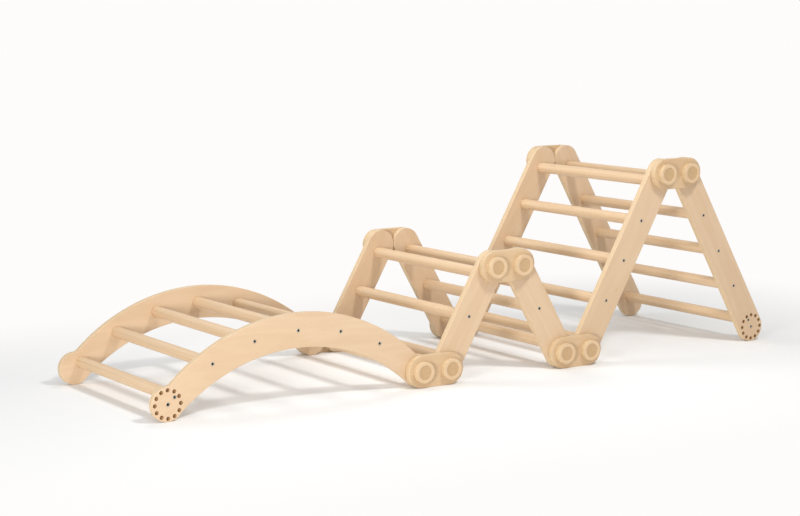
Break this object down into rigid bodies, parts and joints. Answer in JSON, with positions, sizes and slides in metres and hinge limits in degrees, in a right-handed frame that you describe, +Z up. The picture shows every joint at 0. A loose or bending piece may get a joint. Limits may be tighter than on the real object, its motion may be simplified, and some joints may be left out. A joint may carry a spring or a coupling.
{
  "type": "folding climbing triangle set",
  "caption": "Folding wooden climbing set: an arch ladder and rung triangles joined by flat plates, with clamp knobs that lock each angle.",
  "frame": {"origin": "centre of the footprint, on the floor", "axes": "+X along the chain from the arch to the large triangle, +Y across it from the near side to the far side, +Z up"},
  "size_m": [2.096, 0.646, 0.5836],
  "materials": {
    "birch_plywood": "clear oiled birch plywood",
    "beech": "clear oiled beech",
    "plywood_knob": "turned and oiled birch plywood",
    "steel": "zinc plated"
  },
  "bodies": {
    "middle_foot": {"plate_middle_foot_near": "birch_plywood", "plate_middle_foot_far": "birch_plywood"},
    "large_left_ladder": {"panel_large_left_near": "birch_plywood", "panel_large_left_far": "birch_plywood", "rungs_large_left": "beech", "screws_large_left": "steel", "inserts_large_left": "steel"},
    "large_right_ladder": {"panel_large_right_near": "birch_plywood", "panel_large_right_far": "birch_plywood", "rungs_large_right": "beech", "screws_large_right": "steel", "inserts_large_right": "steel"},
    "small_right_ladder": {"panel_small_right_near": "birch_plywood", "panel_small_right_far": "birch_plywood", "rungs_small_right": "beech", "screws_small_right": "steel", "inserts_small_right": "steel"},
    "small_left_ladder": {"panel_small_left_near": "birch_plywood", "panel_small_left_far": "birch_plywood", "rungs_small_left": "beech", "screws_small_left": "steel", "inserts_small_left": "steel"},
    "arch_ladder": {"panel_arch_near": "birch_plywood", "panel_arch_far": "birch_plywood", "rungs_arch": "beech", "screws_arch": "steel", "inserts_arch": "steel"},
    "large_apex": {"plate_large_apex_near": "birch_plywood", "plate_large_apex_far": "birch_plywood"},
    "small_apex": {"plate_small_apex_near": "birch_plywood", "plate_small_apex_far": "birch_plywood"},
    "arch_foot": {"plate_arch_foot_near": "birch_plywood", "plate_arch_foot_far": "birch_plywood"},
    "pins_arch_foot_near": {"pins_arch_foot_near": "beech"},
    "knob_arch_foot_left_near": {"knob_arch_foot_left_near": "plywood_knob"},
    "knob_arch_foot_right_near": {"knob_arch_foot_right_near": "plywood_knob"},
    "pins_arch_foot_far": {"pins_arch_foot_far": "beech"},
    "knob_arch_foot_left_far": {"knob_arch_foot_left_far": "plywood_knob"},
    "knob_arch_foot_right_far": {"knob_arch_foot_right_far": "plywood_knob"},
    "pins_small_apex_near": {"pins_small_apex_near": "beech"},
    "knob_small_apex_left_near": {"knob_small_apex_left_near": "plywood_knob"},
    "knob_small_apex_right_near": {"knob_small_apex_right_near": "plywood_knob"},
    "pins_small_apex_far": {"pins_small_apex_far": "beech"},
    "knob_small_apex_left_far": {"knob_small_apex_left_far": "plywood_knob"},
    "knob_small_apex_right_far": {"knob_small_apex_right_far": "plywood_knob"},
    "pins_middle_foot_near": {"pins_middle_foot_near": "beech"},
    "knob_middle_foot_left_near": {"knob_middle_foot_left_near": "plywood_knob"},
    "knob_middle_foot_right_near": {"knob_middle_foot_right_near": "plywood_knob"},
    "pins_middle_foot_far": {"pins_middle_foot_far": "beech"},
    "knob_middle_foot_left_far": {"knob_middle_foot_left_far": "plywood_knob"},
    "knob_middle_foot_right_far": {"knob_middle_foot_right_far": "plywood_knob"},
    "pins_large_apex_near": {"pins_large_apex_near": "beech"},
    "knob_large_apex_left_near": {"knob_large_apex_left_near": "plywood_knob"},
    "knob_large_apex_right_near": {"knob_large_apex_right_near": "plywood_knob"},
    "pins_large_apex_far": {"pins_large_apex_far": "beech"},
    "knob_large_apex_left_far": {"knob_large_apex_left_far": "plywood_knob"},
    "knob_large_apex_right_far": {"knob_large_apex_right_far": "plywood_knob"}
  },
  "joints": [
    {"name": "large_fold", "type": "hinge", "parent": "middle_foot", "child": "large_left_ladder", "pos_m": [0.342, 0, 0.045], "axis": [0, 1, 0], "range_deg": [-30, 60]},
    {"name": "large_apex_left_turn", "type": "hinge", "parent": "large_left_ladder", "child": "large_apex", "pos_m": [0.627, 0, 0.53863], "axis": [0, 1, 0], "range_deg": [-60, 30]},
    {"name": "large_apex_right_turn", "type": "hinge", "parent": "large_apex", "child": "large_right_ladder", "pos_m": [0.718, 0, 0.53863], "axis": [0, 1, 0], "range_deg": [-60, 30]},
    {"name": "small_fold", "type": "hinge", "parent": "middle_foot", "child": "small_right_ladder", "pos_m": [0.251, 0, 0.045], "axis": [0, -1, 0], "range_deg": [-30, 60]},
    {"name": "small_apex_right_turn", "type": "hinge", "parent": "small_right_ladder", "child": "small_apex", "pos_m": [0.096, 0, 0.31347], "axis": [0, -1, 0], "range_deg": [-60, 30]},
    {"name": "small_apex_left_turn", "type": "hinge", "parent": "small_apex", "child": "small_left_ladder", "pos_m": [0.005, 0, 0.31347], "axis": [0, -1, 0], "range_deg": [-60, 30]},
    {"name": "arch_foot_level", "type": "hinge", "parent": "small_left_ladder", "child": "arch_foot", "pos_m": [-0.15, 0, 0.045], "axis": [0, -1, 0], "range_deg": [-30, 60]},
    {"name": "arch_lift", "type": "hinge", "parent": "arch_foot", "child": "arch_ladder", "pos_m": [-0.241, 0, 0.045], "axis": [0, 1, 0], "range_deg": [0, 60]},
    {"name": "pins_arch_foot_near_push", "type": "slide", "parent": "arch_foot", "child": "pins_arch_foot_near", "axis": [0, 1, 0], "range_m": [0, 0.008]},
    {"name": "knob_arch_foot_left_near_turn", "type": "hinge", "parent": "arch_foot", "child": "knob_arch_foot_left_near", "pos_m": [-0.241, -0.3083, 0.045], "axis": [0, 1, 0], "continuous": true},
    {"name": "knob_arch_foot_right_near_turn", "type": "hinge", "parent": "arch_foot", "child": "knob_arch_foot_right_near", "pos_m": [-0.15, -0.3083, 0.045], "axis": [0, 1, 0], "continuous": true},
    {"name": "pins_arch_foot_far_push", "type": "slide", "parent": "arch_foot", "child": "pins_arch_foot_far", "axis": [0, -1, 0], "range_m": [0, 0.008]},
    {"name": "knob_arch_foot_left_far_turn", "type": "hinge", "parent": "arch_foot", "child": "knob_arch_foot_left_far", "pos_m": [-0.241, 0.3083, 0.045], "axis": [0, 1, 0], "continuous": true},
    {"name": "knob_arch_foot_right_far_turn", "type": "hinge", "parent": "arch_foot", "child": "knob_arch_foot_right_far", "pos_m": [-0.15, 0.3083, 0.045], "axis": [0, 1, 0], "continuous": true},
    {"name": "pins_small_apex_near_push", "type": "slide", "parent": "small_apex", "child": "pins_small_apex_near", "axis": [0, 1, 0], "range_m": [0, 0.008]},
    {"name": "knob_small_apex_left_near_turn", "type": "hinge", "parent": "small_apex", "child": "knob_small_apex_left_near", "pos_m": [0.005, -0.3083, 0.31347], "axis": [0, 1, 0], "continuous": true},
    {"name": "knob_small_apex_right_near_turn", "type": "hinge", "parent": "small_apex", "child": "knob_small_apex_right_near", "pos_m": [0.096, -0.3083, 0.31347], "axis": [0, 1, 0], "continuous": true},
    {"name": "pins_small_apex_far_push", "type": "slide", "parent": "small_apex", "child": "pins_small_apex_far", "axis": [0, -1, 0], "range_m": [0, 0.008]},
    {"name": "knob_small_apex_left_far_turn", "type": "hinge", "parent": "small_apex", "child": "knob_small_apex_left_far", "pos_m": [0.005, 0.3083, 0.31347], "axis": [0, 1, 0], "continuous": true},
    {"name": "knob_small_apex_right_far_turn", "type": "hinge", "parent": "small_apex", "child": "knob_small_apex_right_far", "pos_m": [0.096, 0.3083, 0.31347], "axis": [0, 1, 0], "continuous": true},
    {"name": "pins_middle_foot_near_push", "type": "slide", "parent": "middle_foot", "child": "pins_middle_foot_near", "axis": [0, 1, 0], "range_m": [0, 0.008]},
    {"name": "knob_middle_foot_left_near_turn", "type": "hinge", "parent": "middle_foot", "child": "knob_middle_foot_left_near", "pos_m": [0.251, -0.3083, 0.045], "axis": [0, 1, 0], "continuous": true},
    {"name": "knob_middle_foot_right_near_turn", "type": "hinge", "parent": "middle_foot", "child": "knob_middle_foot_right_near", "pos_m": [0.342, -0.3083, 0.045], "axis": [0, 1, 0], "continuous": true},
    {"name": "pins_middle_foot_far_push", "type": "slide", "parent": "middle_foot", "child": "pins_middle_foot_far", "axis": [0, -1, 0], "range_m": [0, 0.008]},
    {"name": "knob_middle_foot_left_far_turn", "type": "hinge", "parent": "middle_foot", "child": "knob_middle_foot_left_far", "pos_m": [0.251, 0.3083, 0.045], "axis": [0, 1, 0], "continuous": true},
    {"name": "knob_middle_foot_right_far_turn", "type": "hinge", "parent": "middle_foot", "child": "knob_middle_foot_right_far", "pos_m": [0.342, 0.3083, 0.045], "axis": [0, 1, 0], "continuous": true},
    {"name": "pins_large_apex_near_push", "type": "slide", "parent": "large_apex", "child": "pins_large_apex_near", "axis": [0, 1, 0], "range_m": [0, 0.008]},
    {"name": "knob_large_apex_left_near_turn", "type": "hinge", "parent": "large_apex", "child": "knob_large_apex_left_near", "pos_m": [0.627, -0.3083, 0.53863], "axis": [0, 1, 0], "continuous": true},
    {"name": "knob_large_apex_right_near_turn", "type": "hinge", "parent": "large_apex", "child": "knob_large_apex_right_near", "pos_m": [0.718, -0.3083, 0.53863], "axis": [0, 1, 0], "continuous": true},
    {"name": "pins_large_apex_far_push", "type": "slide", "parent": "large_apex", "child": "pins_large_apex_far", "axis": [0, -1, 0], "range_m": [0, 0.008]},
    {"name": "knob_large_apex_left_far_turn", "type": "hinge", "parent": "large_apex", "child": "knob_large_apex_left_far", "pos_m": [0.627, 0.3083, 0.53863], "axis": [0, 1, 0], "continuous": true},
    {"name": "knob_large_apex_right_far_turn", "type": "hinge", "parent": "large_apex", "child": "knob_large_apex_right_far", "pos_m": [0.718, 0.3083, 0.53863], "axis": [0, 1, 0], "continuous": true}
  ],
  "couplings": [
    {"joint": "large_apex_left_turn", "follows": "large_fold", "ratio": -1},
    {"joint": "large_apex_right_turn", "follows": "large_fold", "ratio": -1},
    {"joint": "small_apex_right_turn", "follows": "small_fold", "ratio": -1},
    {"joint": "small_apex_left_turn", "follows": "small_fold", "ratio": -1},
    {"joint": "arch_foot_level", "follows": "small_fold", "ratio": 1}
  ]
}
